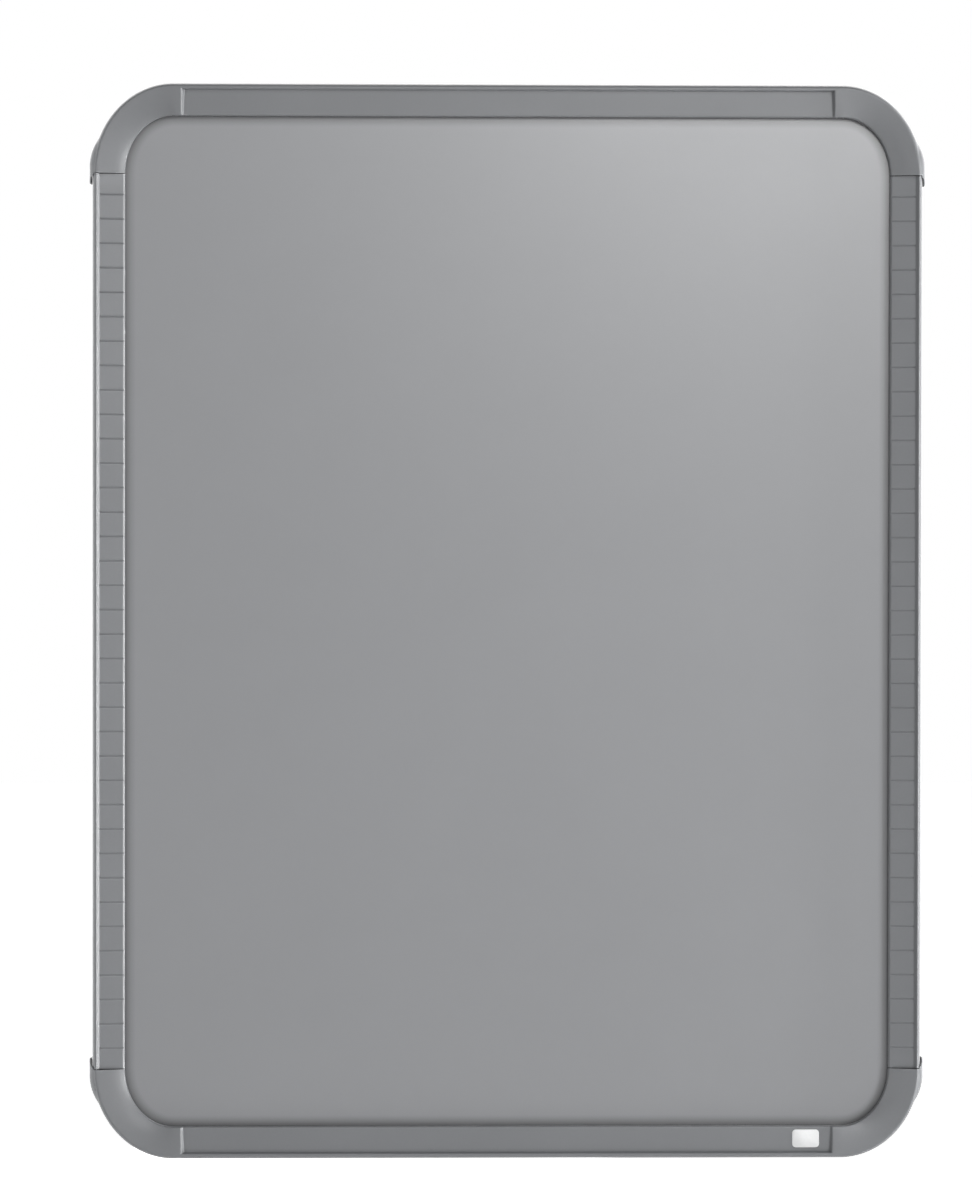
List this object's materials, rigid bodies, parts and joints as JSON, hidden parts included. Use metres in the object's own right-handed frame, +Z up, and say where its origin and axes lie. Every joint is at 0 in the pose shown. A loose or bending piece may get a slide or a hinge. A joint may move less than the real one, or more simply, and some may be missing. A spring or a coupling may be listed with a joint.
{
  "type": "mini magnetic whiteboard",
  "caption": "Flat upright magnetic board: grey lacquered steel surface in a moulded frame with crowned rounded corners and grooved side rails, held on a wall by foam pads.",
  "frame": {"origin": "centre of the wall plane, where the rear faces of the four foam pads lie", "axes": "+X to the right as seen from the front, +Y into the wall, +Z up; the writing surface faces -Y"},
  "size_m": [0.28, 0.012, 0.36],
  "materials": {
    "frame_plastic": "satin moulded plastic with a fine grain",
    "lacquered_steel": "smooth satin lacquer that wipes clean",
    "fibreboard": "raw pressed fibres",
    "backing_paper": "matt uncoated paper",
    "foam": "matt closed-cell foam"
  },
  "bodies": {
    "root": {"top_cap": "frame_plastic", "bottom_cap": "frame_plastic", "left_rail": "frame_plastic", "right_rail": "frame_plastic", "writing_surface": "lacquered_steel", "core_board": "fibreboard", "backing_sheet": "backing_paper", "top_left_pad": "foam", "top_right_pad": "foam", "bottom_left_pad": "foam", "bottom_right_pad": "foam"}
  },
  "joints": []
}
